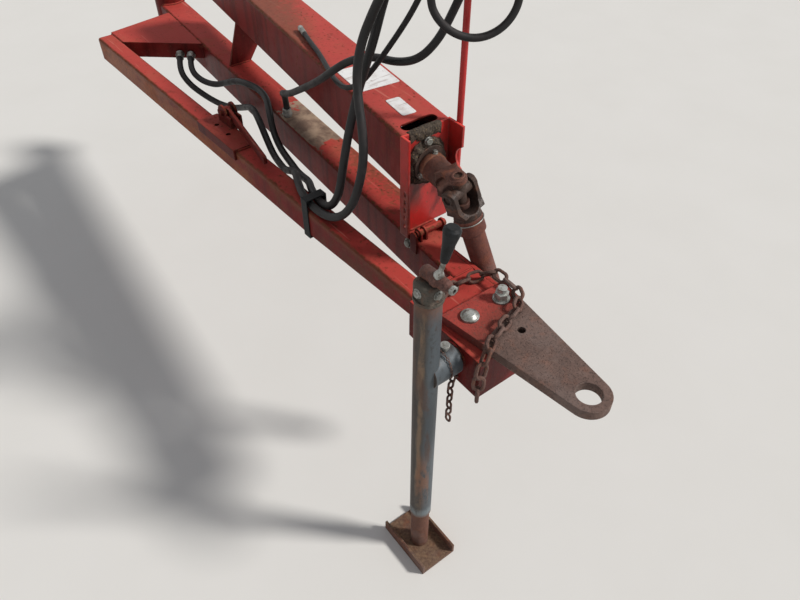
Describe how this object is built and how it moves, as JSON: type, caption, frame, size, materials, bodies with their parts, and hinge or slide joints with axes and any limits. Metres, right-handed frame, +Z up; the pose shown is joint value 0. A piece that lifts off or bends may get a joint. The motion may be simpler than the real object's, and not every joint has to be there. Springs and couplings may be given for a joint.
{
  "type": "drawbar of a pull-type swather",
  "caption": "Towing drawbar of a pull-type swather with hitch eye, driveline tunnel and universal joint, parking jack, safety chain and hydraulic hoses.",
  "frame": {"origin": "centre of the pivot bore at the rear end of the main beam, at the beam's mid height", "axes": "+X forward to the hitch eye, +Y to the machine's left, +Z up along the pivot"},
  "size_m": [2.294, 0.528, 1.3472],
  "materials": {
    "frame_red": "worn satin",
    "bright_red": "satin",
    "rusty_steel": "rusted",
    "dark_cast": "greasy",
    "jack_steel": "worn",
    "zinc": "zinc plated",
    "hose_rubber": "matt",
    "grip_plastic": "matt"
  },
  "bodies": {
    "drawbar": {"main_beam": "frame_red", "near_rail": "frame_red", "cross_member": "frame_red", "nose_side_right": "frame_red", "nose_side_left": "frame_red", "nose_end_plate": "frame_red", "nose_top_plate": "frame_red", "nose_web": "frame_red", "hitch_plate": "rusty_steel", "hitch_bolts": "zinc", "guard_bar": "frame_red", "hose_loop": "hose_rubber", "tunnel": "frame_red", "front_bracket": "bright_red", "tunnel_support": "frame_red", "bearing_housings": "dark_cast", "input_yoke": "rusty_steel", "jack_mount": "jack_steel", "latch_saddle": "frame_red", "latch_lever": "frame_red", "hose_strap": "grip_plastic", "safety_chain": "rusty_steel", "hose_a": "hose_rubber", "hose_b": "hose_rubber", "hose_thin": "hose_rubber", "hose_tie": "hose_rubber", "hose_rod": "bright_red", "parking_plate": "frame_red", "hose_couplers": "zinc", "hose_adapters": "zinc"},
    "uj_cross": {"joint_cross": "dark_cast"},
    "half_shaft": {"shaft_yoke": "rusty_steel", "shaft_collar": "rusty_steel", "shaft_tube": "rusty_steel", "collar_ring": "zinc"},
    "jack": {"jack_tube": "jack_steel", "jack_head": "jack_steel", "jack_hub": "rusty_steel", "jack_handle": "zinc", "jack_grip": "grip_plastic", "jack_nuts": "zinc", "jack_pin": "zinc"},
    "jack_leg": {"jack_leg": "rusty_steel", "jack_foot": "rusty_steel"}
  },
  "joints": [
    {"name": "uj_cross_hinge", "type": "hinge", "parent": "drawbar", "child": "uj_cross", "pos_m": [1.748, -0.106, 0.22], "axis": [-0.0212, -0.1724, 0.9848], "range_deg": [0, 6]},
    {"name": "half_shaft_hinge", "type": "hinge", "parent": "uj_cross", "child": "half_shaft", "pos_m": [1.748, -0.106, 0.22], "axis": [0.1594, -0.973, -0.1669], "range_deg": [0, 70]},
    {"name": "jack_swivel", "type": "hinge", "parent": "drawbar", "child": "jack", "pos_m": [1.951, -0.3, 0.016], "axis": [0, 1, 0], "range_deg": [0, 90]},
    {"name": "jack_screw", "type": "slide", "parent": "jack", "child": "jack_leg", "axis": [0, 0, 1], "range_m": [-0.2, 0.115]}
  ]
}
